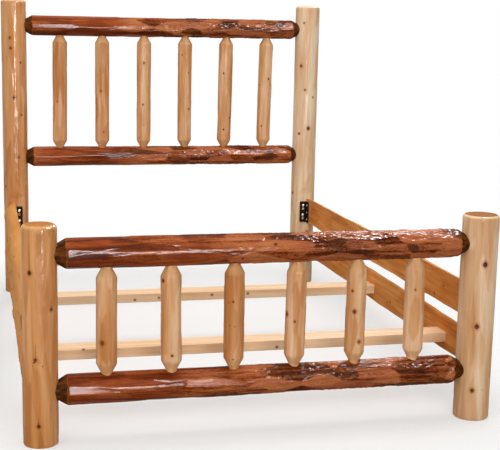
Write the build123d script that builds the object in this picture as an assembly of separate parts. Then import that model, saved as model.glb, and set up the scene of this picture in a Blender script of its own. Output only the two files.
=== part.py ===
from build123d import *
import os

# Rustic log bed for a 60 x 80 inch mattress, in millimetres.
# X runs across the bed, Y from the foot to the head, Z up.
# The origin is on the floor in the middle of the bed.

# overall
side_rail_length = 2083.0
inner_width = 1549.0
headboard_height = 1487.0
footboard_height = 739.0

# posts
post_inset = 7.5
post_flat_offset = 53.0
head_post_left_diameter = 126.0
head_post_right_diameter = 128.0
foot_post_left_diameter = 119.0
foot_post_right_diameter = 130.0
post_top_rounding = 11.0
post_foot_rounding = 6.0
flat_margin = 6.0
flat_runout = 14.0

# cross rails of the two boards
head_top_rail_height = 1365.0
head_bottom_rail_height = 702.0
foot_top_rail_height = 639.0
foot_bottom_rail_height = 180.0
head_rail_diameter = 103.0
foot_rail_diameter = 106.0
rail_tenon_diameter = 70.0
rail_tenon_length = 52.0
rail_cone_length = 31.0
rail_mortise_end_room = 3.0

# spindles
spindle_count = 6
spindle_from_post = 227.0
foot_spindle_shift = -9.0
head_spindle_diameter = 76.0
foot_spindle_diameter = 73.0
spindle_tenon_diameter = 38.0
spindle_tenon_length = 42.0
spindle_cone_length = 33.0
spindle_mortise_end_room = 3.0

# side rails, each a half log with its sawn face inward
side_rail_depth = 137.0
side_rail_thickness = 61.0
side_rail_edge_rounding = 3.0
upper_rail_height = 404.5
lower_rail_height = 233.5

# slats
slat_count = 3
slat_from_rail_end = 253.5
slat_width = 89.0
slat_thickness = 38.0
slat_edge_rounding = 3.0
slat_top_above_rail_axis = 4.0
pocket_depth = 30.0
pocket_end_room = 3.0
pocket_side_room = 3.0
pocket_top_room = 2.0

# keyhole brackets
bracket_height = 112.0
bracket_drop = 9.5
bracket_thickness = 4.0
bracket_post_leg = 37.0
bracket_rail_leg = 46.0
bracket_bend_radius = 3.5
bracket_corner_radius = 5.0
keyhole_count = 2
keyhole_pitch = 52.0
keyhole_from_rail_face = 20.0
unhook_lift = 20.0
rail_screw_count = 3
rail_screw_pitch = 38.0
rail_screw_from_post = 28.0

# screws
hook_shank_diameter = 6.0
hook_head_diameter = 12.0
hook_head_height = 3.6
hook_grip_length = 26.0
rail_screw_shank_diameter = 4.6
rail_screw_head_diameter = 9.5
rail_screw_head_height = 2.8
rail_screw_grip_length = 30.0

# clearances
joint_clearance = 0.25
running_clearance = 0.3
pilot_clearance = 0.1


def spread(reach, count):
    """Even places along a line, from -reach to reach."""
    return [reach * (2 * i / (count - 1) - 1) for i in range(count)]


post_x = inner_width / 2 - post_inset
post_y = side_rail_length / 2 + post_flat_offset
rail_face_x = inner_width / 2
post_face_y = side_rail_length / 2
side_rail_radius = ((side_rail_depth / 2) ** 2 + side_rail_thickness ** 2) / (2 * side_rail_thickness)
slat_y = spread(side_rail_length / 2 - slat_from_rail_end, slat_count)
slat_top = lower_rail_height + slat_top_above_rail_axis
spindle_x = {
    "head": spread(post_x - spindle_from_post, spindle_count),
    "foot": [x + foot_spindle_shift for x in spread(post_x - spindle_from_post, spindle_count)],
}
spindle_diameter = {"head": head_spindle_diameter, "foot": foot_spindle_diameter}
keyhole_offsets = [keyhole_pitch * (i - (keyhole_count - 1) / 2) for i in range(keyhole_count)]
rail_screw_offsets = [rail_screw_pitch * (i - (rail_screw_count - 1) / 2) for i in range(rail_screw_count)]
bracket_heights = [upper_rail_height - bracket_drop, lower_rail_height - bracket_drop]

sides = {"left": -1, "right": 1}
ends = {"head": 1, "foot": -1}
post_diameter = {
    ("head", "left"): head_post_left_diameter,
    ("head", "right"): head_post_right_diameter,
    ("foot", "left"): foot_post_left_diameter,
    ("foot", "right"): foot_post_right_diameter,
}
board_height = {"head": headboard_height, "foot": footboard_height}
board_rail_diameter = {"head": head_rail_diameter, "foot": foot_rail_diameter}
board_rail_heights = {
    "head": (head_bottom_rail_height, head_top_rail_height),
    "foot": (foot_bottom_rail_height, foot_top_rail_height),
}


def turned(points, axis):
    """Turn an outline given as (along, radius) pairs about X or Z."""
    if axis == "X":
        outline = make_face(Plane.XZ * Polyline([(a, r) for a, r in points], close=True))
        return revolve(outline, Axis.X, 360)
    outline = make_face(Plane.XZ * Polyline([(r, a) for a, r in points], close=True))
    return revolve(outline, Axis.Z, 360)


def tenoned_log(low, high, log_radius, tenon_radius, cone, tenon, axis):
    """A log between two shoulders, with a pencil-point cone and a tenon at each end."""
    return turned(
        [
            (low - tenon, 0),
            (low - tenon, tenon_radius),
            (low, tenon_radius),
            (low + cone, log_radius),
            (high - cone, log_radius),
            (high, tenon_radius),
            (high + tenon, tenon_radius),
            (high + tenon, 0),
        ],
        axis,
    )


def rod(radius, start, direction, length):
    """A round bar from a point along a direction."""
    plane = Plane(origin=start, z_dir=direction)
    return extrude(plane * Circle(radius), length)


def post(end, side):
    """A post with rounded ends, two rail mortises and a flat milled for the side rails."""
    radius = post_diameter[end, side] / 2
    sx = sides[side]
    sy = ends[end]
    height = board_height[end]
    log = extrude(Circle(radius), height)
    log = fillet(log.edges().group_by(Axis.Z)[-1], post_top_rounding)
    log = fillet(log.edges().group_by(Axis.Z)[0], post_foot_rounding)

    low = lower_rail_height - side_rail_depth / 2 - flat_margin
    high = upper_rail_height + side_rail_depth / 2 + unhook_lift + flat_margin
    waste = 2 * radius
    flat = Polyline(
        [
            (post_flat_offset, low),
            (post_flat_offset, high),
            (waste, high + (waste - post_flat_offset) * flat_runout / (radius - post_flat_offset)),
            (waste, low - (waste - post_flat_offset) * flat_runout / (radius - post_flat_offset)),
        ],
        close=True,
    )
    cut = extrude(Plane.YZ * make_face(flat), waste, both=True)
    if sy > 0:
        cut = mirror(cut, about=Plane.XZ)
    log -= cut

    hole = rail_tenon_diameter / 2 + joint_clearance
    depth = rail_tenon_length + rail_mortise_end_room
    for height_of_rail in board_rail_heights[end]:
        log -= rod(hole, (-sx * (radius - depth), 0, height_of_rail), (-sx, 0, 0), depth + radius)
    log = Pos(sx * post_x, sy * post_y, 0) * log

    pilot = hook_shank_diameter / 2 + pilot_clearance
    for start in hook_places(end, side):
        log -= rod(pilot, start, (0, sy, 0), hook_grip_length + pilot_clearance)
    return log


def hook_places(end, side):
    """Where the hook screws of one post enter its flat."""
    x = sides[side] * (rail_face_x - keyhole_from_rail_face)
    y = ends[end] * post_face_y
    rest = unhook_lift / 2
    return [(x, y, z + offset + rest) for z in bracket_heights for offset in keyhole_offsets]


def cross_rail(end, height):
    """A cross rail of the headboard or footboard, with mortises for the spindles."""
    radius = board_rail_diameter[end] / 2
    low = -post_x + post_diameter[end, "left"] / 2
    high = post_x - post_diameter[end, "right"] / 2
    rail = tenoned_log(
        low, high, radius, rail_tenon_diameter / 2, rail_cone_length, rail_tenon_length, "X"
    )
    up = 1 if height == min(board_rail_heights[end]) else -1
    hole = spindle_tenon_diameter / 2 + joint_clearance
    depth = spindle_tenon_length + spindle_mortise_end_room
    for x in spindle_x[end]:
        rail -= rod(hole, (x, 0, up * (radius - depth)), (0, 0, up), depth + radius)
    return Pos(0, ends[end] * post_y, height) * rail


def spindle(end, x):
    """An upright spindle between the two cross rails of a board."""
    low, high = board_rail_heights[end]
    radius = board_rail_diameter[end] / 2
    log = tenoned_log(
        low + radius,
        high - radius,
        spindle_diameter[end] / 2,
        spindle_tenon_diameter / 2,
        spindle_cone_length,
        spindle_tenon_length,
        "Z",
    )
    return Pos(x, ends[end] * post_y, 0) * log


def half_log():
    """A right-hand side rail about its own axis: sawn face at X = 0, round face outward."""
    centre = side_rail_thickness - side_rail_radius
    section = Pos(centre, 0) * Circle(side_rail_radius)
    section -= Pos(-side_rail_radius, 0) * Rectangle(2 * side_rail_radius, 4 * side_rail_radius)
    section = fillet(section.vertices(), side_rail_edge_rounding)
    rail = extrude(Plane.XZ * section, side_rail_length / 2, both=True)

    pilot = rail_screw_shank_diameter / 2 + pilot_clearance
    for sy in ends.values():
        y = sy * (post_face_y - rail_screw_from_post)
        for offset in rail_screw_offsets:
            start = (0, y, offset - bracket_drop)
            rail -= rod(pilot, start, (1, 0, 0), rail_screw_grip_length + pilot_clearance)
    return rail


def side_rail(side, height, pocketed):
    """A side rail in its place, with slat pockets if it is a lower one."""
    rail = half_log()
    if pocketed:
        tall = slat_thickness + pocket_top_room
        middle = slat_top_above_rail_axis - slat_thickness + tall / 2
        for y in slat_y:
            mouth = Plane(origin=(0, y, middle), x_dir=(0, 1, 0), z_dir=(1, 0, 0))
            mouth_shape = RectangleRounded(slat_width + 2 * pocket_side_room, tall, pocket_side_room)
            rail -= extrude(mouth * mouth_shape, pocket_depth)
    rail = Pos(rail_face_x, 0, height) * rail
    if sides[side] < 0:
        rail = mirror(rail, about=Plane.YZ)
    return rail


def slat(y):
    """A slat laid flat, with its ends in the pockets of the lower side rails."""
    length = inner_width + 2 * (pocket_depth - pocket_end_room)
    section = RectangleRounded(slat_width, slat_thickness, slat_edge_rounding)
    board = extrude(Plane.YZ * section, length / 2, both=True)
    return Pos(0, y, slat_top - slat_thickness / 2) * board


def keyhole_bracket(end, side, height):
    """A bent steel angle: one leg hooks on the post's screws, the other is screwed to the rail."""
    t = bracket_thickness
    play = running_clearance
    angle = Polyline(
        [
            (0, -play),
            (-bracket_post_leg, -play),
            (-bracket_post_leg, -play - t),
            (-t, -play - t),
            (-t, -play - bracket_rail_leg),
            (0, -play - bracket_rail_leg),
        ],
        close=True,
    )
    plan = make_face(angle)
    bend = plan.vertices().sort_by_distance((0, -play))[0]
    plan = fillet(bend, bracket_bend_radius)
    steel = extrude(plan, bracket_height / 2, both=True)
    free_ends = steel.edges().filter_by(lambda e: abs(e.length - t) < 0.01)
    steel = fillet(free_ends, bracket_corner_radius)

    narrow = hook_shank_diameter / 2 + running_clearance
    wide = hook_head_diameter / 2 + 2 * running_clearance
    x = -keyhole_from_rail_face
    for offset in keyhole_offsets:
        top = offset + unhook_lift / 2
        bottom = offset - unhook_lift / 2
        steel -= rod(narrow, (x, 0, top), (0, -1, 0), 2 * t)
        steel -= rod(wide, (x, 0, bottom), (0, -1, 0), 2 * t)
        steel -= Pos(x, -t, offset) * Box(2 * narrow, 2 * t, unhook_lift)
    hole = rail_screw_shank_diameter / 2 + pilot_clearance
    for offset in rail_screw_offsets:
        steel -= rod(hole, (0, -rail_screw_from_post, offset), (-1, 0, 0), 2 * t)

    steel = Pos(rail_face_x, post_face_y, height) * steel
    if sides[side] < 0:
        steel = mirror(steel, about=Plane.YZ)
    if ends[end] < 0:
        steel = mirror(steel, about=Plane.XZ)
    return steel


def pan_screw(point, inward, stand_off, shank_radius, head_radius, head_height, grip):
    """A pan-head screw whose shank enters the wood at a point and whose head stands off it."""
    into = Vector(*inward)
    under_head = Vector(*point) - into * stand_off
    shank = rod(shank_radius, under_head, into, stand_off + grip)
    head = rod(head_radius, under_head, into * -1, head_height)
    rim = head.faces().sort_by_distance(under_head - into * head_height)[0].edges()
    return shank + fillet(rim, 0.6 * head_height)


def hook_screws(end, side):
    """The screws of one post that the keyhole brackets hang on."""
    stand_off = running_clearance + bracket_thickness + running_clearance
    return [
        pan_screw(
            place,
            (0, ends[end], 0),
            stand_off,
            hook_shank_diameter / 2,
            hook_head_diameter / 2,
            hook_head_height,
            hook_grip_length,
        )
        for place in hook_places(end, side)
    ]


def rail_screws(side, height):
    """The screws that hold two brackets to the sawn face of one side rail."""
    screws = []
    for sy in ends.values():
        for offset in rail_screw_offsets:
            place = (
                sides[side] * rail_face_x,
                sy * (post_face_y - rail_screw_from_post),
                height - bracket_drop + offset,
            )
            screws.append(
                pan_screw(
                    place,
                    (sides[side], 0, 0),
                    bracket_thickness,
                    rail_screw_shank_diameter / 2,
                    rail_screw_head_diameter / 2,
                    rail_screw_head_height,
                    rail_screw_grip_length,
                )
            )
    return screws


def pieces():
    """Every piece of the bed by name."""
    made = {}
    for end in ends:
        for side in sides:
            made[f"{end}_post_{side}"] = post(end, side)
            made[f"{end}_hook_screws_{side}"] = Compound(children=hook_screws(end, side))
        low, high = board_rail_heights[end]
        made[f"{end}_bottom_rail"] = cross_rail(end, low)
        made[f"{end}_top_rail"] = cross_rail(end, high)
        for i, x in enumerate(spindle_x[end]):
            made[f"{end}_spindle_{i + 1}"] = spindle(end, x)
    for level, height in (("upper", upper_rail_height), ("lower", lower_rail_height)):
        for side in sides:
            made[f"{level}_side_rail_{side}"] = side_rail(side, height, level == "lower")
            made[f"{level}_rail_screws_{side}"] = Compound(children=rail_screws(side, height))
            for end in ends:
                name = f"{level}_bracket_{end}_{side}"
                made[name] = keyhole_bracket(end, side, height - bracket_drop)
    for i, y in enumerate(slat_y):
        made[f"slat_{i + 1}"] = slat(y)
    return made


os.makedirs("parts", exist_ok=True)
for name, piece in pieces().items():
    export_step(piece, f"parts/{name}.step")
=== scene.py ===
import bmesh
import bpy
import math
import random
from mathutils import Euler, Matrix, Vector


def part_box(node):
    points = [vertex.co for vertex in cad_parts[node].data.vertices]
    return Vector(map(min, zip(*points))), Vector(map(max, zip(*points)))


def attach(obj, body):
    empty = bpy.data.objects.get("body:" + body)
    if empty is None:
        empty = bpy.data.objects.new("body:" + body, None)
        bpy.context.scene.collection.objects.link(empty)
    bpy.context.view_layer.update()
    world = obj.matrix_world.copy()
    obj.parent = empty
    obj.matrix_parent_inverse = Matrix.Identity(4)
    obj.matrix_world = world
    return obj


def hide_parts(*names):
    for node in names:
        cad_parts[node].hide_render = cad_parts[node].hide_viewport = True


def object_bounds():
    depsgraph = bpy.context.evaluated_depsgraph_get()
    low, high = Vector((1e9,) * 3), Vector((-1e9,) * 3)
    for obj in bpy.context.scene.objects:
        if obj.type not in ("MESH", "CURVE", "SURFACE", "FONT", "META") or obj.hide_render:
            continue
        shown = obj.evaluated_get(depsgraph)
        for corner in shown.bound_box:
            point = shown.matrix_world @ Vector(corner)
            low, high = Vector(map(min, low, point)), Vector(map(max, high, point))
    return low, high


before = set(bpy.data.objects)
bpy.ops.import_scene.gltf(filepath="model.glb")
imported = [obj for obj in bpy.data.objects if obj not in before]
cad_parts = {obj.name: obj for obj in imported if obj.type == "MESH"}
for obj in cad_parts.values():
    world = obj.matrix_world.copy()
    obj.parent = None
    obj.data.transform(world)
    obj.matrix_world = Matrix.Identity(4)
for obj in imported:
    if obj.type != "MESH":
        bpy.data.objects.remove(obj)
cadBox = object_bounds()
print("stage: frame loaded,", len(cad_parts), "nodes")


# a short way to write node trees
class Wire:
    # a socket that can stand in a sum
    def __init__(self, graph, end):
        self.graph = graph
        self.end = end

    def __add__(self, other):
        return self.graph.maths("ADD", self, other)

    def __sub__(self, other):
        return self.graph.maths("SUBTRACT", self, other)

    def __mul__(self, other):
        return self.graph.maths("MULTIPLY", self, other)

    def __truediv__(self, other):
        return self.graph.maths("DIVIDE", self, other)

    def __pow__(self, other):
        return self.graph.maths("POWER", self, other)

    def __rsub__(self, other):
        return self.graph.maths("SUBTRACT", other, self)

    def __abs__(self):
        return self.graph.maths("ABSOLUTE", self)

    __radd__ = __add__
    __rmul__ = __mul__

    def least(self, other, soft=0.0):
        return self.graph.maths("SMOOTH_MIN", self, other, soft)

    def most(self, other):
        return self.graph.maths("MAXIMUM", self, other)

    def step(self, low, high, start=0.0, end=1.0):
        # a smooth rise from start to end while the value goes from low to high
        inputs = {"Value": self, "From Min": low, "From Max": high, "To Min": start, "To Max": end}
        return self.graph.node("ShaderNodeMapRange", inputs, interpolation_type="SMOOTHSTEP")

    def output(self, name):
        return Wire(self.graph, self.end.node.outputs[name])


class Graph:
    def __init__(self, tree):
        self.tree = tree

    def feed(self, socket, value):
        if isinstance(value, Wire):
            self.tree.links.new(value.end, socket)
        elif value is not None:
            socket.default_value = value

    def node(self, kind, inputs=None, out=0, **settings):
        made = self.tree.nodes.new(kind)
        for name, value in settings.items():
            setattr(made, name, value)
        for name, value in (inputs or {}).items():
            self.feed(made.inputs[name], value)
        return Wire(self, made.outputs[out])

    def maths(self, operation, *values):
        return self.node("ShaderNodeMath", dict(enumerate(values)), operation=operation)

    def split(self, vector):
        x = self.node("ShaderNodeSeparateXYZ", {0: vector})
        return x, x.output("Y"), x.output("Z")

    def join(self, x, y, z):
        return self.node("ShaderNodeCombineXYZ", {0: x, 1: y, 2: z})

    def vector(self, operation, *values, scale=None):
        inputs = dict(enumerate(values))
        if scale is not None:
            inputs["Scale"] = scale
        out = 1 if operation in ("LENGTH", "DISTANCE", "DOT_PRODUCT") else 0
        return self.node("ShaderNodeVectorMath", inputs, out, operation=operation)

    def noise(self, vector, detail=2.0, roughness=0.5, distortion=0.0):
        inputs = {"Vector": vector, "Scale": 1.0}
        inputs.update({"Detail": detail, "Roughness": roughness, "Distortion": distortion})
        return self.node("ShaderNodeTexNoise", inputs)

    def grained(self, vector, across, along, *settings):
        # noise drawn out along local Z, in cycles for each metre
        return self.noise(self.vector("MULTIPLY", vector, (across, across, along)), *settings)

    def mix(self, factor, a, b):
        # colours
        return self.node("ShaderNodeMix", {0: factor, 6: a, 7: b}, 2, data_type="RGBA")

    def ramp(self, value, stops):
        # colours along a value; the first two stops stand for the ends
        colours = self.node("ShaderNodeValToRGB", {0: value})
        elements = colours.end.node.color_ramp.elements
        for stop, (at, colour) in zip(elements, stops):
            stop.position = at
            stop.color = colour
        for at, colour in stops[2:]:
            elements.new(at).color = colour
        return colours

    def place(self, kind="Object"):
        return self.node("ShaderNodeTexCoord", out=kind)

    def attribute(self, name):
        # a number stored at the points, in a material
        return self.node("ShaderNodeAttribute", out=2, attribute_name=name)

    def direction(self, name):
        # a vector stored at the points, in a material
        return self.node("ShaderNodeAttribute", out=1, attribute_name=name)

    def bump(self, height, strength, distance):
        return self.node("ShaderNodeBump", {"Strength": strength, "Distance": distance, "Height": height})

    def finish(self, inputs):
        # feeds the material's shader
        shader = self.tree.nodes["Principled BSDF"]
        for name, value in inputs.items():
            self.feed(shader.inputs[name], value)

    def seen(self):
        # 1 for camera, glossy and transmission rays
        rays = self.node("ShaderNodeLightPath")
        return rays, rays.most(rays.output("Is Glossy Ray")).most(rays.output("Is Transmission Ray"))

    def named(self, name):
        # a number stored at the points, in geometry
        return self.node("GeometryNodeInputNamedAttribute", {"Name": name}, data_type="FLOAT")

    def spotsAndSpine(self, given):
        # the knots and the spine, which come in one mesh
        chosen = self.maths("GREATER_THAN", self.named("spotSize"), 0.0)
        inputs = {"Geometry": given["Geometry"], "Selection": chosen}
        knots = self.node("GeometryNodeSeparateGeometry", inputs, domain="POINT")
        return knots, knots.output("Inverted")


def camelCase(label):
    return label[0].lower() + label[1:].replace(" ", "")


def newMaterial(name):
    material = bpy.data.materials.new(name)
    material.use_nodes = True
    return material, Graph(material.node_tree)


def paint(code):
    # a hex colour as linear values
    values = [int(code[i:i + 2], 16) / 255 for i in (1, 3, 5)]
    linear = [v / 12.92 if v <= 0.04045 else ((v + 0.055) / 1.055) ** 2.4 for v in values]
    return (*linear, 1.0)


def paints(look):
    return {part: paint(code) for part, code in look.items()}


def added(name, data):
    piece = bpy.data.objects.new(name, data)
    bpy.context.scene.collection.objects.link(piece)
    return piece


def nodeSize(node):
    low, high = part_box(node)
    return Vector(low), Vector(high)


def middle(node):
    low, high = nodeSize(node)
    return (low + high) / 2


# wood, worked out in three dimensions round each log's own axis
# each noise has its cycles for each metre across and along the log, then detail, roughness and distortion
peeledWood = {
    "streak": (55.0, 3.5, 4.0), "fine": (320.0, 9.0), "wide": (14.0, 2.4), "gloss": (60.0, 34.0, 3.0),
    "ringWidth": 0.0032, "ringWander": 0.010,
    "streakTone": 0.40, "wideTone": 0.46, "fineTone": 0.10, "facetTone": 0.16, "paleness": 0.03,
    "knotSpread": 3.2, "knotPull": 0.75, "knotSquash": 0.85, "knotRagged": 0.35,
    "crackWidth": 0.0014, "crackTip": 0.0005, "crackWander": 0.004, "crackWaves": 45.0,
    "grainBump": 0.35, "bumpDepth": 0.0025,
    "roughness": 0.50, "shine": 0.02, "coat": 0.13, "coatRoughness": 0.15,
}
warmPostWood = {**peeledWood, "coat": 0.42, "coatRoughness": 0.21}
palePostWood = {**peeledWood, "coat": 0.08}
spindleWood = {**peeledWood, "coat": 0.05, "coatRoughness": 0.28}
halfLogWood = {
    **peeledWood, "streak": (75.0, 3.5, 4.0), "facetTone": 0.10,
    "roughness": 0.62, "shine": 0.03, "coat": 0.0,
}
smallest = 0.0005  # what stands in for a knot or crack of no size


def logMaterial(name, look, s, axis=2):
    # look: the tones of the wood; s: its settings; axis: the direction in which the log lies
    material, graph = newMaterial(name)
    hue = paints(look)

    # the nearest knot: how far it is in knot sizes, and how it pushes the grain aside
    grain = graph.direction("grain")
    away = graph.direction("knot")
    ax, ay, az = graph.split(away)
    across = graph.vector("LENGTH", graph.join(ax, ay, 0.0))
    tall = abs(az) * s["knotSquash"]
    eye = graph.vector("LENGTH", graph.join(across, tall, 0.0)) * 0.7 + (across + tall) * 0.25
    far = eye.most(graph.attribute("knotFar") * 0.5) / graph.attribute("spotSize").most(smallest)
    pull = far.step(0.7, s["knotSpread"], 1.0, 0.0) * s["knotPull"]
    bent = graph.vector("SUBTRACT", grain, graph.vector("SCALE", away, scale=pull))

    kinds = ("streak", "fine", "wide", "gloss")
    streak, fine, wide, gloss = [graph.grained(bent, *s[kind]) for kind in kinds]
    x, y, z = graph.split(bent)
    fromPith = graph.vector("LENGTH", graph.join(x, y, 0.0))
    ring = graph.maths("SINE", (fromPith + wide * s["ringWander"]) * (2 * math.pi / s["ringWidth"]))

    tone = streak * s["streakTone"] + wide * s["wideTone"] + fine * s["fineTone"] + s["paleness"]
    tone = tone + (graph.attribute("facet") - 0.5) * s["facetTone"] + graph.attribute("shade")
    colour = graph.ramp(tone, [(0.34, hue["dark"]), (0.68, hue["light"]), (0.51, hue["middle"])])
    colour = graph.mix(fine.step(0.55, 0.75) * 0.18, colour, hue["line"])
    if "skin" in look:
        # the round side of a half log
        skin = graph.mix(tone, hue["skin"], hue["rim"])
        colour = graph.mix((1 - graph.attribute("sawn")) * 0.7, colour, skin)

    # the sawn ends show rings; the rounded edge next to them is painted paler, a painted highlight
    up = abs(graph.split(graph.place("Normal"))[axis])
    endGrain = up.step(0.90, 0.985)
    rim = up.step(0.15, 0.6) * (1 - endGrain)
    colour = graph.mix(rim * 0.7, colour, hue["rim"])
    rings = ring * 0.16 + streak * 0.5 + 0.25
    rings = graph.ramp(rings, [(0.25, hue["endDark"]), (0.75, hue["endLight"])])
    colour = graph.mix(endGrain, colour, rings)

    # knots: a halo, a dark ring and a brown core
    side = 1 - up.step(0.5, 0.8)
    ragged = far + (streak - 0.5) * s["knotRagged"]
    halo = (1 - ragged.step(0.9, 2.0)) * side
    core = (1 - ragged.step(0.82, 1.08)) * side
    heart = graph.mix(fine.step(0.35, 0.65), hue["knotDark"], hue["knotLight"])
    heart = graph.mix(1 - ragged.step(0.15, 0.6), heart, hue["knotDark"])
    heart = graph.mix(graph.attribute("knotPale"), heart, hue["halo"])
    colour = graph.mix(halo * 0.45, colour, hue["halo"])
    colour = graph.mix(core * 0.92, colour, heart)

    # some have a crack above them, which narrows upward
    height = az / graph.attribute("crackLength").most(smallest)
    wander = (graph.noise(graph.join(0.0, 0.0, z * s["crackWaves"])) - 0.5) * s["crackWander"]
    outward = graph.vector("MULTIPLY", graph.vector("SUBTRACT", grain, away), (1.0, 1.0, 0.0))
    kx, ky = graph.split(graph.vector("NORMALIZE", outward))[:2]
    gap = abs(kx * ay - ky * ax + wander) / height.step(0.0, 1.0, s["crackWidth"], s["crackTip"])
    crack = (1 - gap.step(0.5, 1.2)) * az.step(0.0, 0.003) * (1 - height.step(0.85, 1.0))
    crack = crack * (1 - across.step(0.012, 0.016)) * side
    colour = graph.mix(crack * 0.75, colour, hue["knotDark"])

    relief = streak * s["grainBump"] + wide * 0.3 + fine * 0.06 - core * 0.25 - crack * 0.5
    graph.finish({
        "Base Color": colour,
        "Roughness": s["roughness"] + (streak - 0.5) * 0.25 + core * 0.1 + endGrain * 0.3,
        "Coat Weight": s["coat"] * gloss.step(0.40, 0.60, 0.4, 1.4) * (1 - endGrain),
        "Normal": graph.bump(relief, 0.6, s["bumpDepth"]),
        "Specular IOR Level": s["shine"], "Coat Roughness": s["coatRoughness"],
    })
    return material


warmTones = {
    "dark": "#ae6a33", "middle": "#c8864b", "light": "#dca36d", "line": "#a9622a", "rim": "#dba265",
    "endDark": "#a8652c", "endLight": "#cb8f50",
    "halo": "#94501a", "knotDark": "#450f00", "knotLight": "#853c0a",
}
paleTones = {
    "dark": "#c78d5c", "middle": "#ddb186", "light": "#eed5b4", "line": "#bd8450", "rim": "#f0d3a6",
    "endDark": "#8f4f1b", "endLight": "#b97a3e",
    "halo": "#a05c22", "knotDark": "#470f00", "knotLight": "#853a08",
}
spindleTones = {
    "dark": "#bd7a44", "middle": "#d49b68", "light": "#e9bf96", "line": "#b5763f", "rim": "#dca975",
    "endDark": "#a5632e", "endLight": "#d0965c",
    "halo": "#965020", "knotDark": "#4a1500", "knotLight": "#853e0c",
}


def knotOnLog(radius, height, turn, size, crack=0.0, pale=0.0):
    # a knot at a height and a turn round the log, 0 at its local X, in degrees
    angle = math.radians(turn)
    return (radius * math.cos(angle), radius * math.sin(angle), height), size, crack, pale


def strayKnot(dice, radius, height, settings):
    # a knot whose turn and size are drawn by chance
    turn = dice.uniform(*settings["strayTurns"])
    return knotOnLog(radius, height, turn, dice.uniform(*settings["straySizes"]))


# the inputs that every hewn log has, by their kind
logInputs = {
    "Float": ["Log Radius", "Swelling", "Facet Depth", "Facet Across", "Facet Along", "Facet Drift",
              "Shade", "Trunk Start"],
    "Int": ["Around"], "Vector": ["Place", "Turn"], "Material": ["Material"],
}


def newTree(name, *inputs):
    tree = bpy.data.node_groups.new(name, "GeometryNodeTree")
    tree.interface.new_socket("Geometry", in_out="INPUT", socket_type="NodeSocketGeometry")
    for kinds in inputs:
        for kind, labels in kinds.items():
            for label in labels:
                tree.interface.new_socket(label, in_out="INPUT", socket_type="NodeSocket" + kind)
    tree.interface.new_socket("Geometry", in_out="OUTPUT", socket_type="NodeSocketGeometry")
    graph = Graph(tree)
    start = tree.nodes.new("NodeGroupInput")
    given = {socket.name: Wire(graph, socket) for socket in start.outputs if socket.name}
    return graph, given


def endTree(graph, geometry, given):
    whole = graph.node("GeometryNodeRealizeInstances", {0: geometry})
    dressed = graph.node("GeometryNodeSetMaterial", {"Geometry": whole, "Material": given["Material"]})
    graph.feed(graph.tree.nodes.new("NodeGroupOutput").inputs[0], dressed)
    return graph.tree


def endLogTree(graph, geometry, given):
    smooth = graph.node("GeometryNodeSetShadeSmooth", {0: mark(graph, given, geometry)})
    turned = graph.node("GeometryNodeTransform", {
        "Geometry": smooth, "Translation": given["Place"], "Rotation": given["Turn"]})
    return endTree(graph, turned, given)


def store(graph, geometry, name, value, kind="FLOAT"):
    inputs = {"Geometry": geometry, "Name": name, "Value": value}
    return graph.node("GeometryNodeStoreNamedAttribute", inputs, data_type=kind, domain="POINT")


def mark(graph, given, geometry):
    # the place in the trunk, and the way from the nearest knot
    here = graph.node("GeometryNodeInputPosition")
    knots = graph.spotsAndSpine(given)[0]
    nearest = graph.node("GeometryNodeSampleNearest", {0: knots, 1: here}, domain="POINT")

    def fromKnot(value, kind):
        inputs = {"Geometry": knots, "Value": value, "Index": nearest}
        return graph.node("GeometryNodeSampleIndex", inputs, data_type=kind, domain="POINT")

    away = graph.vector("SUBTRACT", here, fromKnot(here, "FLOAT_VECTOR"))
    trunk = graph.vector("ADD", here, graph.join(0.0, 0.0, given["Trunk Start"]))
    geometry = store(graph, geometry, "grain", trunk, "FLOAT_VECTOR")
    geometry = store(graph, geometry, "knot", away, "FLOAT_VECTOR")
    geometry = store(graph, geometry, "knotFar", graph.vector("LENGTH", away))
    geometry = store(graph, geometry, "shade", given["Shade"])
    for name in ("spotSize", "crackLength", "knotPale"):
        geometry = store(graph, geometry, name, fromKnot(graph.named(name), "FLOAT"))
    return geometry


def tube(graph, given):
    # a round skin of radius 1 m on the stations of the log, and where each of its points lies
    path = graph.node("GeometryNodeMeshToCurve", {0: graph.spotsAndSpine(given)[1]})
    ring = graph.node("GeometryNodeCurvePrimitiveCircle", {"Resolution": given["Around"], "Radius": 1.0})
    skin = graph.node("GeometryNodeCurveToMesh", {"Curve": path, "Profile Curve": ring, "Fill Caps": True})
    x, y, z = graph.split(graph.node("GeometryNodeInputPosition"))
    return skin, x, y, z


def shaped(graph, skin, x, y, z):
    return graph.node("GeometryNodeSetPosition", {"Geometry": skin, "Position": graph.join(x, y, z)})


def cutBy(graph, geometry, cutter):
    inputs = {"Mesh 1": geometry, "Mesh 2": cutter}
    return graph.node("GeometryNodeMeshBoolean", inputs, operation="DIFFERENCE", solver="EXACT")


# waves of the logs' surface, in cycles for each metre, or round the log for each unit of its radius
surface = {
    "swellAcross": 9.0, "swellAlong": 3.2, "swellTop": 0.8, "swellGain": 2.5,
    "flatSoftness": 0.12, "leastFlat": 0.3, "brink": 0.0004,
    "flakeAround": 6.5, "flakeAlong": 66.0, "flakeFrom": 0.44, "flakeTo": 0.56,
    "wholeBefore": 0.5,  # how far ahead of the torn bark the flats start to deepen, in metres
    "edgeAround": 0.6, "coneSoftness": 0.0012, "millSoftness": 0.001,
}


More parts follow.
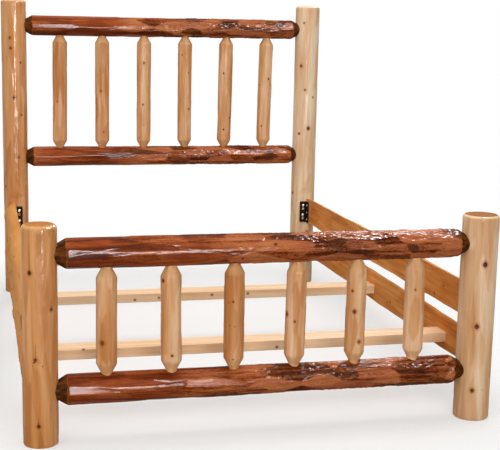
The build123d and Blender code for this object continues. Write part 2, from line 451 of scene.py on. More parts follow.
def hewn(graph, given, skin, x, y, z, radius, share=1.0):
    # slow swelling, and the flats of a drawknife, each square to the middle of its cell
    s = surface
    trunk = z + given["Trunk Start"]
    swell = s["swellAcross"]
    slow = graph.noise(graph.join(x * radius * swell, y * radius * swell, trunk * s["swellAlong"]), 2.0)
    across = given["Facet Across"]
    stroke = (trunk + z * z * given["Facet Drift"]) * given["Facet Along"]
    inputs = {"Vector": graph.join(x * radius * across, y * radius * across, stroke), "Scale": 1.0}
    inputs["Smoothness"] = s["flatSoftness"]
    cell = graph.node("ShaderNodeTexVoronoi", inputs, feature="SMOOTH_F1")
    cx, cy = graph.split(cell.output("Position"))[:2]
    outward = graph.vector("NORMALIZE", graph.join(cx, cy, 0.0))
    facing = graph.vector("DOT_PRODUCT", graph.join(x, y, 0.0), outward)
    red, green = graph.split(cell.output("Color"))[:2]
    full = radius + (slow - s["swellTop"]) * given["Swelling"] * s["swellGain"]
    depth = given["Facet Depth"] * share * (red * (1 - s["leastFlat"]) + s["leastFlat"])
    flat = (full - depth) / facing.most(0.5)
    return store(graph, skin, "facet", green), full.least(radius).least(flat, s["brink"])


def tenonedLogTree():
    graph, given = newTree("tenonedLog", logInputs, {"Float": [
        "Tenon Radius", "Cone Length", "Low", "High",
        "Shred Depth", "Shred From", "Shred To", "Smooth Share"]})
    s = surface
    skin, x, y, z = tube(graph, given)
    smooth = given["Smooth Share"]
    share = z.step(given["Shred From"] - s["wholeBefore"], given["Shred To"]) * (1 - smooth) + smooth
    skin, body = hewn(graph, given, skin, x, y, z, given["Log Radius"], share)
    along = (z + given["Trunk Start"]) * s["flakeAlong"]
    flakes = graph.noise(graph.join(x * s["flakeAround"], y * s["flakeAround"], along), 3.0)
    flakes = flakes.step(s["flakeFrom"], s["flakeTo"])
    body = body - flakes * z.step(given["Shred From"], given["Shred To"]) * given["Shred Depth"]
    tenon = given["Tenon Radius"]
    rise = (given["Log Radius"] - tenon) / given["Cone Length"]
    cone = (tenon + (z - given["Low"]) * rise).least(tenon + (given["High"] - z) * rise)
    radius = body.least(cone, s["coneSoftness"]).most(tenon)
    skin = store(graph, skin, "cut", body - cone)
    skin = store(graph, skin, "along", z)
    return endLogTree(graph, shaped(graph, skin, x * radius, y * radius, z), given)


def postTree():
    graph, given = newTree("post", logInputs, {"Float": [
        "Foot Radius", "Height", "Top Rounding", "Foot Rounding",
        "Flat Offset", "Flat Low", "Flat High", "Flat Runout", "Flat Side"]})
    skin, x, y, z = tube(graph, given)
    share = z / given["Height"]
    taper = given["Foot Radius"] + share * (given["Log Radius"] - given["Foot Radius"])
    skin, body = hewn(graph, given, skin, x, y, z, taper)

    def rounding(size, fromEnd):
        # how far the end's rounding draws the surface in
        inside = (size - fromEnd).most(0.0)
        return size - (size * size - inside * inside).most(0.0) ** 0.5

    radius = body - rounding(given["Top Rounding"], given["Height"] - z)
    radius = radius - rounding(given["Foot Rounding"], z)
    steep = (given["Log Radius"] - given["Flat Offset"]) / given["Flat Runout"]
    beyond = (z - given["Flat High"]).most(0.0) + (given["Flat Low"] - z).most(0.0)
    flat = (given["Flat Offset"] + beyond * steep) / (y * given["Flat Side"]).most(0.05)
    radius = radius.least(flat, surface["millSoftness"])
    return endLogTree(graph, shaped(graph, skin, x * radius, y * radius, z), given)


def halfLogTree():
    # sawn face on local X = 0, round face towards +X, length along Z
    graph, given = newTree("halfLog", logInputs, {
        "Float": ["Thickness", "Half Depth", "Edge Wander", "Edge Waves", "Knot Bulge", "Bulge Reach",
                  "Pocket Pitch", "Pocket Height"],
        "Int": ["Pockets"], "Vector": ["Pocket Size"]})
    skin, x, y, z = tube(graph, given)
    waves = (z + given["Trunk Start"]) * given["Edge Waves"]
    edge = graph.noise(graph.join(y * surface["edgeAround"], 0.0, waves), 2.0)
    deep = given["Half Depth"] - edge.step(0.3, 0.7) * given["Edge Wander"]
    spots = graph.spotsAndSpine(given)[0]
    unhewn = graph.join(x * given["Thickness"], y * given["Half Depth"], z)
    inputs = {0: spots, "Sample Position": unhewn}
    near = graph.node("GeometryNodeProximity", inputs, "Distance", target_element="POINTS")
    hollow = near.step(0.0, given["Bulge Reach"], 0.0, given["Knot Bulge"])
    skin, body = hewn(graph, given, skin, x, y, z, given["Log Radius"])
    thick = given["Thickness"] + body - given["Log Radius"] - hollow
    skin = store(graph, skin, "sawn", (0.02 - x).step(0.0, 0.02))
    placed = shaped(graph, skin, x.most(0.0) * thick, y * deep, z)

    # pockets for the slats
    first = given["Pocket Pitch"] * (given["Pockets"] - 1) * -0.5
    row = graph.node("GeometryNodeMeshLine", {
        "Count": given["Pockets"], "Start Location": graph.join(0.0, given["Pocket Height"], first),
        "Offset": graph.join(0.0, 0.0, given["Pocket Pitch"])}, mode="OFFSET")
    block = graph.node("GeometryNodeMeshCube", {"Size": given["Pocket Size"]})
    blocks = graph.node("GeometryNodeInstanceOnPoints", {"Points": row, "Instance": block})
    blocks = graph.node("GeometryNodeRealizeInstances", {0: blocks})
    placed, blocks = [graph.node("GeometryNodeSetMaterial", {
        "Geometry": part, "Material": given["Material"]}) for part in (placed, blocks)]
    return endLogTree(graph, cutBy(graph, placed, blocks), given)


def spineMesh(name, heights, knots, reach=()):
    # a line of points along the log, and loose points where the knots are
    points = [(0.0, 0.0, h) for h in heights] + [knot[0] for knot in knots]
    mesh = bpy.data.meshes.new(name)
    mesh.from_pydata(points, [(i, i + 1) for i in range(len(heights) - 1)], [])
    columns = {}
    for part, label in enumerate(("spotSize", "crackLength", "knotPale"), 1):
        columns[label] = [0.0] * len(heights) + [knot[part] for knot in knots]
    if reach:
        columns["reach"] = reach + [0.0] * len(knots)
    for label, values in columns.items():
        mesh.attributes.new(label, "FLOAT", "POINT").data.foreach_set("value", values)
    return added(name, mesh)


def stations(fixed, step):
    # heights of the rings: the fixed ones, and even steps between them
    heights = []
    for low, high in zip(fixed, fixed[1:]):
        count = max(1, round((high - low) / step))
        heights += [low + (high - low) * i / count for i in range(count)]
    return heights + [fixed[-1]]


def tenonedStations(low, high, settings):
    # rings lie close together at the brink of each cone
    cone = settings["coneLength"]
    embed = settings["embed"]
    fixed = [low - embed, low, low + cone - 0.002, low + cone + 0.002]
    fixed += [high - cone - 0.002, high - cone + 0.002, high, high + embed]
    return stations(fixed, settings["ringStep"])


def grown(piece, tree, settings, values, node, body):
    # the tree's result as a plain mesh in its place; what values lacks comes from the settings
    shaper = piece.modifiers.new("shape", "NODES")
    shaper.node_group = tree
    for socket in tree.interface.items_tree:
        value = values.get(socket.name, settings.get(camelCase(socket.name)))
        if socket.in_out == "INPUT" and value is not None:
            shaper[socket.identifier] = value
    ready = piece.evaluated_get(bpy.context.evaluated_depsgraph_get())
    mesh = bpy.data.meshes.new_from_object(ready)
    piece.modifiers.clear()
    piece.data = mesh
    mesh.name = piece.name
    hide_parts(node)
    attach(piece, body)


posts = {
    "growth": {"foot_post_right": 0.0016},  # how much wider the top is in radius
    "softTop": {"foot_post_left": 0.016},  # a rounder top than the others have
    "shades": {"head_post_left": 0.02, "head_post_right": 0.085, "foot_post_right": -0.02},
    "topRounding": 0.011, "footRounding": 0.006,
    "flatOffset": 0.053, "flatLow": 0.159, "flatHigh": 0.499, "flatRunout": 0.030,
    "swelling": 0.0012, "facetDepth": 0.0014, "facetAcross": 38.0, "facetAlong": 5.0,
    "strayFrom": 0.14, "strayEvery": 0.26, "strayShift": 0.08,
    "strayTurns": (0, 170), "straySizes": (0.003, 0.006),
    "trunkEvery": 3.0, "ringStep": 0.008, "around": 128,
}
# height, turn, size, crack and paleness of the knots on each post's front, the last two 0 if left out
postKnots = {
    "head_post_left": [
        (1.302, -110, 0.0066, 0, 0.5), (1.252, -107, 0.0066, 0, 0.1), (1.180, -62, 0.0050),
        (1.007, -94, 0.0074), (0.918, -60, 0.0050, 0, 0.1), (0.704, -76, 0.0053, 0, 0.2),
        (0.553, -150, 0.0053)],
    "head_post_right": [
        (1.401, -123, 0.0050), (1.177, -132, 0.0074, 0, 0.5), (1.051, -109, 0.0050),
        (1.012, -67, 0.0050, 0, 0.2), (0.847, -87, 0.0095, 0, 0.1), (0.818, -133, 0.0059),
        (0.495, -167, 0.0059)],
    "foot_post_left": [
        (0.588, -125, 0.0073, 0.100), (0.466, -53, 0.0061, 0.030), (0.302, -108, 0.0059, 0.060),
        (0.282, -118, 0.0024), (0.281, -86, 0.0022), (0.078, -100, 0.0064, 0.030)],
    "foot_post_right": [
        (0.571, -95, 0.0087, 0.022), (0.348, -111, 0.0087, 0.020), (0.114, -114, 0.0078),
        (0.115, -80, 0.0020)],
}


def makePosts():
    tree = postTree()
    woods = {
        "left": logMaterial("warmPostWood", warmTones, warmPostWood),
        "right": logMaterial("palePostWood", paleTones, palePostWood),
    }
    dice = random.Random(7)
    shift = posts["strayShift"]
    for number, (node, marks) in enumerate(postKnots.items()):
        low, high = nodeSize(node)
        centre = (low + high) / 2
        radius = (high.x - low.x) / 2
        grow = posts["growth"].get(node, 0.0)
        height = high.z
        knots = [knotOnLog(radius, *spot) for spot in marks]
        for i in range(int(height / posts["strayEvery"])):
            h = posts["strayFrom"] + posts["strayEvery"] * i + dice.uniform(-shift, shift)
            knots.append(strayKnot(dice, radius, h, posts))
        top = posts["softTop"].get(node, posts["topRounding"])
        foot = posts["footRounding"]
        arc = [math.radians(a) for a in range(0, 91, 15)]
        heights = [foot * (1 - math.cos(a)) for a in arc[:-1]]
        heights += stations([foot, posts["flatLow"], posts["flatHigh"], height - top], posts["ringStep"])
        heights += [height - top + top * math.sin(a) for a in arc[1:]]
        values = {
            "Log Radius": radius + grow / 2, "Foot Radius": radius - grow / 2, "Height": height,
            "Top Rounding": top, "Flat Side": -1.0 if centre.y > 0 else 1.0,
            "Trunk Start": posts["trunkEvery"] * number + 1.0, "Shade": posts["shades"].get(node, 0.0),
            "Place": (centre.x, math.copysign(postLine(), centre.y), 0.0),
            "Material": woods[node.split("_")[-1]],
        }
        piece = spineMesh(node + "_log", heights, knots)
        grown(piece, tree, posts, values, node, "root")


def postLine():
    # the posts' axes and the boards' rails share one line at each end
    return abs(middle("head_top_rail").y)


spindles = {
    "tenonRadius": 0.019, "coneLength": 0.033, "embed": 0.020, "smoothShare": 1.0,
    "swelling": 0.0014, "facetDepth": 0.0022, "facetAcross": 50.0, "facetAlong": 7.0,
    "strayShares": (0.3, 0.7), "strayShift": 0.12, "strayTurns": (10, 170), "straySizes": (0.0025, 0.0045),
    "trunkEvery": 2.0, "footTrunk": 20.0, "ringStep": 0.007, "around": 90,
    # how far each leans to the right, and how much paler than the others it is
    "leans": {
        "head": [0.007, 0.002, 0.002, -0.001, 0.010, 0.014],
        "foot": [0.002, -0.009, -0.001, 0.013, 0.004, -0.004],
    },
    "shades": {"head": [-0.04, -0.01, 0.04, 0.01, 0.0, 0.03], "foot": [0.0, 0.0, -0.09, 0.01, 0.03, 0.06]},
}
# height, turn, size in millimetres and paleness of the knots on each spindle
spindleKnots = {
    "head": [
        [(0.985, -117, 4.4, 0.1)],
        [(1.040, -105, 5.5, 0.7), (0.829, -82, 4.4, 0.2)],
        [(1.184, -97, 6.0, 0.8), (0.970, -104, 5.5, 0.6), (0.796, -137, 3.9, 0.2)],
        [(1.227, -125, 3.9, 0.5), (1.135, -66, 4.7, 0.1), (0.948, -62, 4.7, 0.1)],
        [(1.134, -117, 4.7, 0), (0.900, -52, 4.7, 0), (0.840, -107, 5.2, 0)],
        [(1.074, -156, 3.9, 0), (1.107, -73, 4.4, 0), (0.858, -122, 4.7, 0)],
    ],
    "foot": [
        [(0.341, -121, 7.4, 0.45)],
        [(0.542, -150, 6.5, 0.1), (0.288, -95, 4.2, 0.3)],
        [(0.548, -148, 2.9, 0.4), (0.465, -109, 3.9, 0), (0.460, -136, 2.5, 0),
         (0.381, -130, 2.7, 0), (0.379, -99, 2.7, 0), (0.264, -105, 3.6, 0.3)],
        [(0.409, -165, 8.4, 0.6), (0.387, -110, 4.4, 0.4)],
        [(0.568, -165, 5.7, 0), (0.485, -133, 4.9, 0), (0.413, -116, 7.3, 0.3), (0.306, -82, 6.5, 0.6)],
        [(0.483, -109, 3.6, 0.5)],
    ],
}


def makeSpindles(tree):
    dice = random.Random(21)
    shift = spindles["strayShift"]
    material = logMaterial("spindleWood", spindleTones, spindleWood)
    for end, sets in spindleKnots.items():
        low, high = nodeSize(end + "_spindle_1")
        radius = (high.x - low.x) / 2
        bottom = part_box(end + "_bottom_rail")[1][2]
        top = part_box(end + "_top_rail")[0][2]
        heights = tenonedStations(bottom, top, spindles)
        firstTrunk = spindles["footTrunk"] if end == "foot" else 0.0
        for number, marks in enumerate(sets):
            node = f"{end}_spindle_{number + 1}"
            place = middle(node)
            lean = spindles["leans"][end][number]
            knots = [knotOnLog(radius, h, turn, size / 1000, 0.0, pale) for h, turn, size, pale in marks]
            for share in spindles["strayShares"]:
                h = low.z + (high.z - low.z) * (share + dice.uniform(-shift, shift))
                knots.append(strayKnot(dice, radius, h, spindles))
            values = {
                "Log Radius": radius, "Low": bottom, "High": top, "Shade": spindles["shades"][end][number],
                "Trunk Start": spindles["trunkEvery"] * number + firstTrunk,
                "Place": (place.x - place.z * lean, place.y, 0.0), "Turn": (0.0, lean, 0.0),
                "Material": material,
            }
            piece = spineMesh(node + "_log", heights, knots)
            grown(piece, tree, spindles, values, node, "root")


crossRails = {
    "tenonRadius": 0.035, "coneLength": 0.031, "tenon": 0.052, "embed": 0.026,
    "swelling": 0.0018, "facetDepth": 0.0042, "facetAcross": 27.0, "facetAlong": 7.5, "facetDrift": 0.45,
    # where the bark goes over from whole to torn, and how deep the flats are where it is whole
    "shredFrom": -0.45, "shredTo": 0.28, "shredDepth": 0.0013, "smoothShare": 0.5,
    "strayKnots": 9, "strayTurns": (-20, 200), "straySizes": (0.003, 0.006),
    "trunkEvery": 4.0, "ringStep": 0.006, "around": 128,
}
# place along the rail, turn and size
railKnots = {"foot_top_rail": [(0.010, -115, 0.0055), (-0.101, -56, 0.0050)]}


def makeCrossRails(tree, material):
    dice = random.Random(33)
    names = ["foot_top_rail", "foot_bottom_rail", "head_top_rail", "head_bottom_rail"]
    for number, node in enumerate(names):
        low, high = nodeSize(node)
        radius = (high.z - low.z) / 2
        centre = (low + high) / 2
        first = low.x + crossRails["tenon"]
        last = high.x - crossRails["tenon"]
        values = {
            "Log Radius": radius, "Low": first, "High": last,
            "Trunk Start": crossRails["trunkEvery"] * number,
            "Place": (0.0, centre.y, centre.z), "Turn": (0.0, math.pi / 2, 0.0), "Material": material,
        }
        knots = [knotOnLog(radius, *spot) for spot in railKnots.get(node, [])]
        count = crossRails["strayKnots"]
        for i in range(count):
            along = first + (last - first) * (i + dice.uniform(0.2, 0.8)) / count
            knots.append(strayKnot(dice, radius, along, crossRails))
        piece = spineMesh(node + "_log", tenonedStations(first, last, crossRails), knots)
        grown(piece, tree, crossRails, values, node, "root")


barkWood = {
    "streak": (75.0, 5.0, 5.0, 0.62), "wide": (12.0, 4.0, 3.0), "fine": (330.0, 30.0, 3.0, 0.6),
    "grit": (165.0, 115.0, 5.0, 0.72, 1.2),
    "bendWaves": 9.0, "bendReach": 0.008,
    "facetTone": 0.20, "streakTone": 0.48, "wideTone": 0.26, "fineTone": 0.18, "paleness": -0.10,
    "tornShare": 0.55, "shadowShare": 0.45, "threadShare": 0.45, "threadWidth": 0.035,
    "bumpDepth": 0.004,
    "roughness": 0.45, "shine": 0.0, "coat": 0.46, "coatIor": 1.32, "coatRoughness": 0.17,
}
barkTones = {
    "deep": "#351105", "dark": "#62260a", "red": "#943f0f", "orange": "#b96322", "pale": "#dba468",
    "torn": "#b86e4c", "shadow": "#55240f",
    "cone": "#3d200e", "coneLight": "#6b3c1c", "edge": "#a3622c", "knot": "#220d06",
}


def barkMaterial():
    material, graph = newMaterial("barkLogWood")
    s = barkWood
    hue = paints(barkTones)
    grain = graph.direction("grain")
    cut = graph.attribute("cut")
    facet = graph.attribute("facet")
    bend = graph.noise(graph.vector("SCALE", grain, scale=s["bendWaves"])).output("Color")
    bent = graph.vector("ADD", grain, graph.vector("SCALE", bend, scale=s["bendReach"]))
    kinds = ("streak", "wide", "fine", "grit")
    streak, wide, fine, grit = [graph.grained(bent, *s[kind]) for kind in kinds]
    torn = graph.attribute("along").step(crossRails["shredFrom"], crossRails["shredTo"], 0.14, 0.40)
    rough = (wide * 0.6 + torn).step(0.34, 0.62)

    tone = facet * s["facetTone"] + streak * s["streakTone"] + wide * s["wideTone"] + fine * s["fineTone"]
    tone = tone + s["paleness"]
    tone = (tone - 0.47) * (rough * 0.60 + 0.70) + 0.46 + (grit - 0.5) * rough * 0.50
    colour = graph.ramp(tone, [
        (0.26, hue["deep"]), (0.80, hue["pale"]),
        (0.38, hue["dark"]), (0.50, hue["red"]), (0.63, hue["orange"])])

    # torn patches, the shadows between them, and thin pale threads of inner bark
    patch = facet * 0.42 + streak * 0.56 + grit * 0.36
    colour = graph.mix(rough * patch.step(0.60, 0.78) * s["tornShare"], colour, hue["torn"])
    colour = graph.mix(rough * patch.step(0.64, 0.48) * s["shadowShare"], colour, hue["shadow"])
    thread = (1 - abs(grit - 0.5).step(0.0, s["threadWidth"])) * rough * streak.step(0.40, 0.60)
    colour = graph.mix(thread * s["threadShare"], colour, hue["pale"])
    far = graph.vector("LENGTH", graph.direction("knot")) / graph.attribute("spotSize").most(smallest)
    knot = 1 - (far + (streak - 0.5) * 0.6).step(0.8, 1.7)
    colour = graph.mix(knot * 0.85, colour, hue["knot"])

    # the pencil points at the ends, with a paler brink
    onCone = cut.step(0.0002, 0.0012)
    cone = graph.mix(streak.step(0.35, 0.65), hue["cone"], hue["coneLight"])
    colour = graph.mix(onCone, colour, cone)
    brink = 1 - (abs(cut) / 0.0014).least(1.0)
    colour = graph.mix(brink * 0.5, colour, hue["edge"])

    relief = (streak * 0.30 + wide * 0.25 + fine * 0.08) * (rough * 0.86 + 0.14) + grit * rough
    graph.finish({
        "Base Color": colour, "Roughness": s["roughness"] + onCone * 0.2,
        "Coat Weight": (1 - onCone * 0.9) * s["coat"] * (1 - rough * grit.step(0.60, 0.45)),
        "Normal": graph.bump(relief, 0.7, s["bumpDepth"]),
        "Specular IOR Level": s["shine"], "Coat IOR": s["coatIor"], "Coat Roughness": s["coatRoughness"],
    })
    return material


sideRails = {
    "edgeWander": 0.007, "edgeWaves": 2.6, "knotBulge": 0.006, "bulgeReach": 0.07,
    "swelling": 0.0016, "facetDepth": 0.0022, "facetAcross": 30.0, "facetAlong": 7.0,
    "pocketDepth": 0.030, "pocketSideRoom": 0.003, "pocketTopRoom": 0.002,
    "trunkEvery": 5.0, "ringStep": 0.011, "around": 80,
}
sawnTones = {
    "dark": "#ba6a2e", "middle": "#dd8d46", "light": "#eeaa62", "line": "#9a541c", "rim": "#e8ac66",
    "skin": "#d28436", "endDark": "#8a4f22", "endLight": "#b87c48",
    "halo": "#85491c", "knotDark": "#32180a", "knotLight": "#6b3a18",
}


def makeSideRails():
    tree = halfLogTree()
    material = logMaterial("halfLogWood", sawnTones, halfLogWood, axis=1)
    slatLow, slatHigh = nodeSize("slat_2")
    slats = sorted(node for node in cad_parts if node.startswith("slat_"))
    pocket = Vector((
        2 * sideRails["pocketDepth"],
        slatHigh.z - slatLow.z + sideRails["pocketTopRoom"],
        slatHigh.y - slatLow.y + 2 * sideRails["pocketSideRoom"]))
    names = [(level, side) for level in ("upper", "lower") for side in ("left", "right")]
    for number, (level, side) in enumerate(names):
        node = f"{level}_side_rail_{side}"
        low, high = nodeSize(node)
        centre = (low + high) / 2
        thick = high.x - low.x
        deep = (high.z - low.z) / 2
        # local X turns outward, local Z runs along the bed
        out = 1 if side == "right" else -1
        turn = Matrix(((out, 0, 0), (0, 0, out), (0, -1, 0))).to_euler()
        values = {
            "Log Radius": deep, "Thickness": thick, "Half Depth": deep,
            "Trunk Start": sideRails["trunkEvery"] * number,
            "Pockets": len(slats) if level == "lower" else 0,
            "Pocket Pitch": middle(slats[1]).y - middle(slats[0]).y,
            "Pocket Size": pocket, "Pocket Height": centre.z - slatLow.z - pocket.y / 2,
            "Place": (high.x if side == "left" else low.x, 0.0, centre.z), "Turn": tuple(turn),
            "Material": material,
        }
        body = "slat_deck" if level == "lower" else "upper_rail_" + side
        reach = (high.y - low.y) / 2
        heights = stations([-reach, reach], sideRails["ringStep"])
        piece = spineMesh(node + "_log", heights, sideKnots(side, level, thick))
        grown(piece, tree, sideRails, values, node, body)


# place from the sawn face, downward and along, then size, crack and paleness
sideKnotsSeen = {
    "upper_right": [((0, -0.0045, -0.791), 0.0040, 0, 0.4), ((0, 0.0435, -0.710), 0.0040, 0, 0.4)],
    "lower_right": [((0, 0.0255, -0.245), 0.0040, 0, 0.4)],
    "lower_left": [((0.045, -0.050, 0.68), 0.0110, 0, 0)],
    "upper_left": [((0.050, -0.045, 0.20), 0.0080, 0, 0.3)],
}
# stray knots on the round side, by their turns, and on the sawn face, by how far off its middle they are
roundKnots = {
    "count": 7, "first": -0.95, "every": 0.31, "shift": 0.10,
    "turns": (-70, 70), "sizes": (0.004, 0.008), "paleness": 0.0,
}
sawnKnots = {
    "count": 3, "first": -0.20, "every": 0.45, "shift": 0.15,
    "reach": 0.045, "sizes": (0.003, 0.005), "paleness": 0.4,
}


def sideKnots(side, level, thick):
    dice = random.Random(side + level)
    knots = list(sideKnotsSeen[level + "_" + side])
    for s in (roundKnots, sawnKnots):
        for i in range(s["count"]):
            along = s["first"] + s["every"] * i + dice.uniform(-s["shift"], s["shift"])
            if "turns" in s:
                turn = math.radians(dice.uniform(*s["turns"]))
                place = (thick * math.cos(turn), thick * 1.1 * math.sin(turn), along)
            else:
                place = (0.0, dice.uniform(-s["reach"], s["reach"]), along)
            knots.append((place, dice.uniform(*s["sizes"]), 0.0, s["paleness"]))
    return knots


def dress(nodes, material):
    for node in nodes:
        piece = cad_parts[node]
        piece.data.materials.clear()
        piece.data.materials.append(material)


slatWood = {
    "across": 45.0, "along": 2.0, "fine": 300.0, "roughness": 0.55, "shine": 0.1, "coat": 0.04,
    "dark": "#eabb8a", "middle": "#f8d1a4", "light": "#fde1bf", "knot": "#7c3804",
    "knotSize": 0.0050,
    # places of the knots on the boards
    "knots": [
        (-0.309, -0.0445, 0.211), (-0.205, -0.0445, 0.217), (0.028, -0.0445, 0.221),
        (0.189, -0.0445, 0.221), (0.108, -0.8325, 0.211), (-0.602, -0.8325, 0.238),
        (0.42, 0.80, 0.237), (-0.35, 0.76, 0.237), (0.31, 0.02, 0.199), (-0.52, -0.77, 0.199),
    ],
}


def slatMaterial():
    material, graph = newMaterial("slatWood")
    s = slatWood
    hue = {part: paint(s[part]) for part in ("dark", "middle", "light", "knot")}
    at = graph.place()
    wander = graph.noise(graph.vector("MULTIPLY", at, (1.2, 6.0, 6.0)), 2.0)
    x, y, z = graph.split(at)
    bent = graph.join(x, y + wander * 0.03, z + wander * 0.02)
    streak = graph.noise(graph.vector("MULTIPLY", bent, (s["along"], s["across"], s["across"])), 4.0)
    fine = graph.noise(graph.vector("MULTIPLY", bent, (s["along"] * 3, s["fine"], s["fine"])), 2.0)
    tone = streak * 0.6 + wander * 0.3 + fine * 0.1
    colour = graph.ramp(tone, [(0.36, hue["dark"]), (0.64, hue["light"]), (0.5, hue["middle"])])
    far = graph.vector("DISTANCE", at, s["knots"][0])
    for place in s["knots"][1:]:
        far = far.least(graph.vector("DISTANCE", at, place))
    ragged = far / s["knotSize"] + (streak - 0.5) * 0.5
    colour = graph.mix((1 - ragged.step(0.9, 2.2)) * 0.35, colour, hue["knot"])
    colour = graph.mix((1 - ragged.step(0.7, 1.1)) * 0.85, colour, hue["knot"])
    graph.finish({
        "Base Color": colour, "Normal": graph.bump(streak * 0.4 + fine * 0.3, 0.35, 0.001),
        "Roughness": s["roughness"], "Specular IOR Level": s["shine"], "Coat Weight": s["coat"],
    })
    return material


steel = {"grain": 900.0, "dark": "#080605", "light": "#120e0b", "roughness": 0.42, "shine": 0.07}
zinc = {"grain": 400.0, "dark": "#c4b69c", "light": "#e8dcc6", "roughness": 0.35}


def metal(name, s, detail):
    material, graph = newMaterial(name)
    speckle = graph.noise(graph.vector("SCALE", graph.place(), scale=s["grain"]), detail)
    graph.finish({
        "Base Color": graph.mix(speckle, paint(s["dark"]), paint(s["light"])),
        "Roughness": s["roughness"] + speckle * 0.2,
    })
    return material, graph, speckle


def steelMaterial():
    material, graph, speckle = metal("blackSteel", steel, 2.0)
    graph.finish({"Normal": graph.bump(speckle, 0.3, 0.0004), "Specular IOR Level": steel["shine"]})
    return material


def zincMaterial():
    material, graph = metal("zincSteel", zinc, 3.0)[:2]
    graph.finish({"Metallic": 1.0})
    return material


def screwTree():
    # one turned screw with a cross recess, set at every spot with a turn of its own
    graph, given = newTree("screws", {
        "Int": ["Around"], "Vector": ["Recess", "Turn", "Twist Axis"], "Material": ["Material"]})
    spots = graph.spotsAndSpine(given)[0]
    skin, x, y, z = tube(graph, given)
    reach = graph.named("reach")
    screw = shaped(graph, skin, x * reach, y * reach, z)
    first = graph.node("GeometryNodeMeshCube", {"Size": given["Recess"]})
    second = graph.node("GeometryNodeTransform", {"Geometry": first, "Rotation": (0.0, 0.0, math.pi / 2)})
    screw = cutBy(graph, cutBy(graph, screw, first), second)
    screw = graph.node("GeometryNodeTransform", {"Geometry": screw, "Rotation": given["Turn"]})
    twist = graph.node("FunctionNodeRandomValue", {2: 0.0, 3: math.pi, "Seed": 5}, 1, data_type="FLOAT")
    copies = graph.node("GeometryNodeInstanceOnPoints", {
        "Points": spots, "Instance": screw,
        "Rotation": graph.vector("SCALE", given["Twist Axis"], scale=twist)})
    return endTree(graph, copies, given)


screws = {
    "around": 24,
    "recessLong": 1.0, "recessWide": 0.22, "recessDeep": 0.55,  # in head radii, the depth in head heights
    "hook": {"head": 0.006, "headHeight": 0.0036, "shank": 0.003},
    "rail": {"head": 0.00475, "headHeight": 0.0028, "shank": 0.0023},
}


def looseParts(node):
    # the boxes of a node's separate solids
    mesh = bmesh.new()
    mesh.from_mesh(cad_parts[node].data)
    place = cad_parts[node].matrix_world
    left = set(mesh.verts)
    boxes = []
    while left:
        stack = [left.pop()]
        part = []
        while stack:
            vertex = stack.pop()
            part.append(place @ vertex.co)
            for edge in vertex.link_edges:
                other = edge.other_vert(vertex)
                if other in left:
                    left.remove(other)
                    stack.append(other)
        boxes.append([Vector([pick(v[i] for v in part) for i in range(3)]) for pick in (min, max)])
    mesh.free()
    return boxes


def makeScrews(material):
    tree = screwTree()
    for node in sorted(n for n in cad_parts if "screws" in n):
        kind = "hook" if "hook" in node else "rail"
        head, tall, shank = [screws[kind][part] for part in ("head", "headHeight", "shank")]
        low, high = nodeSize(node)
        axis = 1 if kind == "hook" else 0
        top = min(low[axis], high[axis], key=abs)
        length = high[axis] - low[axis]
        spots = []
        for part in looseParts(node):
            centre = (part[0] + part[1]) / 2
            centre[axis] = top
            if all((centre - other).length > shank for other in spots):
                spots.append(centre)
        # from the tip to the top of the head: how far along, and the radius there
        outline = [
            (-length, 0.2 * shank), (1.5 * shank - length, shank), (-tall, shank), (-tall, head),
            (-0.6 * tall, head), (-0.35 * tall, 0.93 * head), (-0.13 * tall, 0.80 * head),
            (0.0, 0.60 * head),
        ]
        heights, reach = [list(column) for column in zip(*outline)]
        quarter = -math.pi / 2 if top > 0 else math.pi / 2
        recess = (screws["recessLong"] * head, screws["recessWide"] * head, 2 * screws["recessDeep"] * tall)
        values = {
            "Recess": recess, "Material": material,
            "Turn": (-quarter, 0.0, 0.0) if axis == 1 else (0.0, quarter, 0.0),
            "Twist Axis": (0.0, 1.0, 0.0) if axis == 1 else (1.0, 0.0, 0.0),
        }
        body = "root"
        if kind == "rail":
            body = "slat_deck" if "lower" in node else "upper_rail_" + node.split("_")[-1]
        piece = spineMesh(node + "_turned", heights, [(spot, 1.0, 0.0, 0.0) for spot in spots], reach)
        grown(piece, tree, screws, values, node, body)


studio = {
    "floorSize": 40.0, "floorSeen": "#fbfbfa", "floorBounce": "#98928c", "worldStrength": 0.45,
    "clearFrom": 0.05, "clearTo": 1.0, "leastGlow": 0.35,
}
# what each light makes, its place, what it looks at, its size and its watts
lights = {
    "overhead": ("light", (0.0, -0.3, 4.6), (0.0, 0.0, 0.0), (4.0, 4.0), 112),
    "front": ("light", (-0.6, -8.0, 2.4), (0.0, 0.0, 0.5), (3.5, 2.5), 215),
    "left": ("light", (-3.6, -3.4, 2.2), (0.0, 0.0, 0.5), (2.0, 2.0), 32),
    "window": ("gloss", (0.10, -4.75, 1.00), (0.0, -1.0, 0.7), (1.5, 1.6), 450),
    "skylight": ("gloss", (1.30, -1.10, 2.90), (0.4, -1.05, 0.6), (1.3, 0.6), 450),
    "backlight": ("gloss", (1.75, 1.95, 2.60), (0.5, -1.05, 0.6), (0.9, 0.6), 90),
    "rear": ("light", (0.8, 8.0, 2.6), (0.0, 0.0, 0.5), (3.5, 2.5), 120),
}


def makeLights():
    for name, (makes, place, target, size, watts) in lights.items():
        light = bpy.data.lights.new(name, "AREA")
        light.shape = "RECTANGLE"
        light.size, light.size_y = size
        light.energy = watts
        piece = added(name, light)
        piece.location = place
        piece.rotation_euler = (Vector(target) - Vector(place)).to_track_quat("-Z", "Y").to_euler()
        piece.visible_diffuse = makes == "light"
        piece.visible_glossy = makes == "gloss"


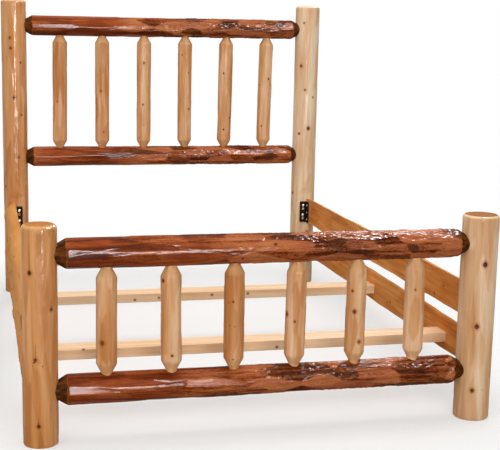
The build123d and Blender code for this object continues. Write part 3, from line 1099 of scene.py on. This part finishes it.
def makeStudio():
    scene = bpy.context.scene
    scene.view_settings.view_transform = "Standard"
    world = bpy.data.worlds.new("studio")
    world.use_nodes = True
    scene.world = world
    graph = Graph(world.node_tree)
    seen = graph.seen()[1]
    back = world.node_tree.nodes["Background"]
    back.inputs["Color"].default_value = (1.0, 1.0, 1.0, 1.0)
    graph.feed(back.inputs["Strength"], studio["worldStrength"] + seen * (1.0 - studio["worldStrength"]))

    half = studio["floorSize"] / 2
    corners = [(-half, -half, 0), (half, -half, 0), (half, half, 0), (-half, half, 0)]
    mesh = bpy.data.meshes.new("floor")
    mesh.from_pydata(corners, [], [(0, 1, 2, 3)])
    added("floor", mesh)
    material, graph = newMaterial("paleFloor")
    rays, seen = graph.seen()
    colour = graph.mix(rays, paint(studio["floorBounce"]), paint(studio["floorSeen"]))
    graph.finish({"Base Color": colour, "Roughness": 0.9, "Specular IOR Level": 0.0})

    # it glows white, and more so the farther a spot is outside the bed
    x, y = graph.split(graph.place())[:2]
    outX = (abs(x) - cadBox[1][0]).most(0.0)
    outY = (abs(y) - cadBox[1][1]).most(0.0)
    away = (outX * outX + outY * outY) ** 0.5
    clear = away.step(studio["clearFrom"], studio["clearTo"], studio["leastGlow"])
    glow = graph.node("ShaderNodeEmission", {"Color": (1, 1, 1, 1), "Strength": 1.0})
    nodes = material.node_tree.nodes
    plain = Wire(graph, nodes["Principled BSDF"].outputs[0])
    both = graph.node("ShaderNodeMixShader", {0: clear * seen, 1: plain, 2: glow})
    graph.feed(nodes["Material Output"].inputs["Surface"], both)
    mesh.materials.append(material)


camera = {
    "place": (-0.9459, -4.6240, 1.3650), "turn": 0.22329, "down": 0.16988, "roll": 0.01719,
    "lens": 79.46, "shift": (0.044, -0.014),
}


def makeCamera():
    lens = bpy.data.cameras.new("camera")
    lens.lens = camera["lens"]
    lens.sensor_width = 36.0
    lens.shift_x, lens.shift_y = camera["shift"]
    aim = Euler((math.pi / 2 - camera["down"], 0.0, -camera["turn"])).to_matrix()
    aim = aim @ Matrix.Rotation(camera["roll"], 3, "Z")
    piece = added("camera", lens)
    piece.matrix_world = Matrix.Translation(camera["place"]) @ aim.to_4x4()
    bpy.context.scene.camera = piece


makeCamera()
makeStudio()
makeLights()
print("stage: camera and studio")

makePosts()
print("stage: posts")
tenonedLog = tenonedLogTree()
makeSpindles(tenonedLog)
print("stage: spindles")
makeCrossRails(tenonedLog, barkMaterial())
print("stage: cross rails")
makeSideRails()
print("stage: side rails")
dress([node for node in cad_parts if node.startswith("slat_")], slatMaterial())
dress([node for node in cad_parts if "bracket" in node], steelMaterial())
makeScrews(zincMaterial())
print("stage: slats, brackets and screws")
